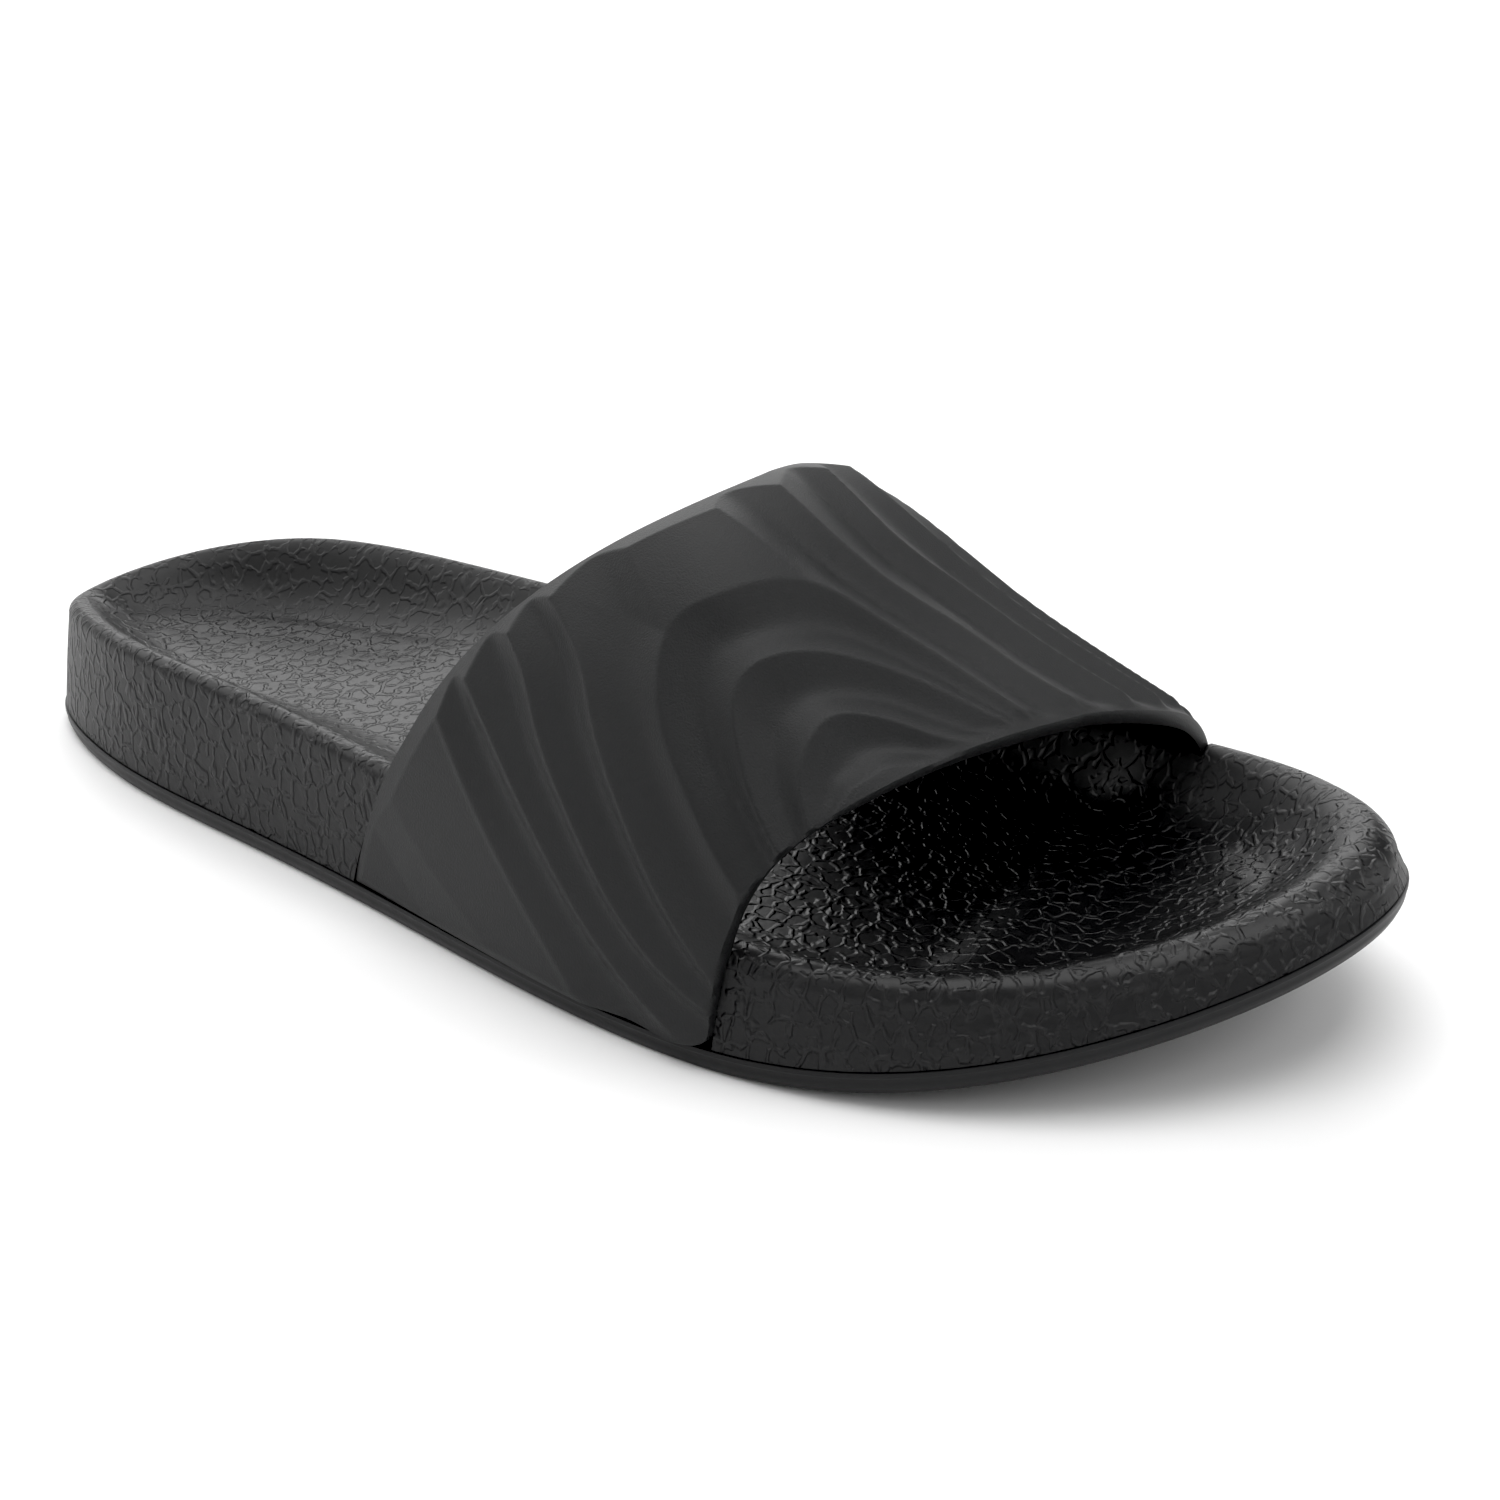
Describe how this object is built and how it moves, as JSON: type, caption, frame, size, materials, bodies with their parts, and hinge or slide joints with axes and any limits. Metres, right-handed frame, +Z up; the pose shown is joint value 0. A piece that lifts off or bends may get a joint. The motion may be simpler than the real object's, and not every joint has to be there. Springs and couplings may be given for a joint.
{
  "type": "slide sandal",
  "caption": "Sport slide sandal: a thin outsole, a cupped foam footbed and a wide moulded strap with flowing ridges.",
  "frame": {"origin": "on the floor, at the middle of the box's bottom face", "axes": "+Z up, -Y toward the toe, +Y toward the heel, -X toward the outer (little-toe) side"},
  "size_m": [0.1099, 0.285, 0.0835],
  "materials": {
    "outsole_rubber": "smooth satin black rubber",
    "footbed_foam": "black moulded foam skin with a leather-like grain, slightly glossy",
    "strap_moulding": "matte charcoal moulding with a very fine texture"
  },
  "bodies": {
    "root": {"outsole": "outsole_rubber", "footbed": "footbed_foam", "strap": "strap_moulding"}
  },
  "joints": []
}
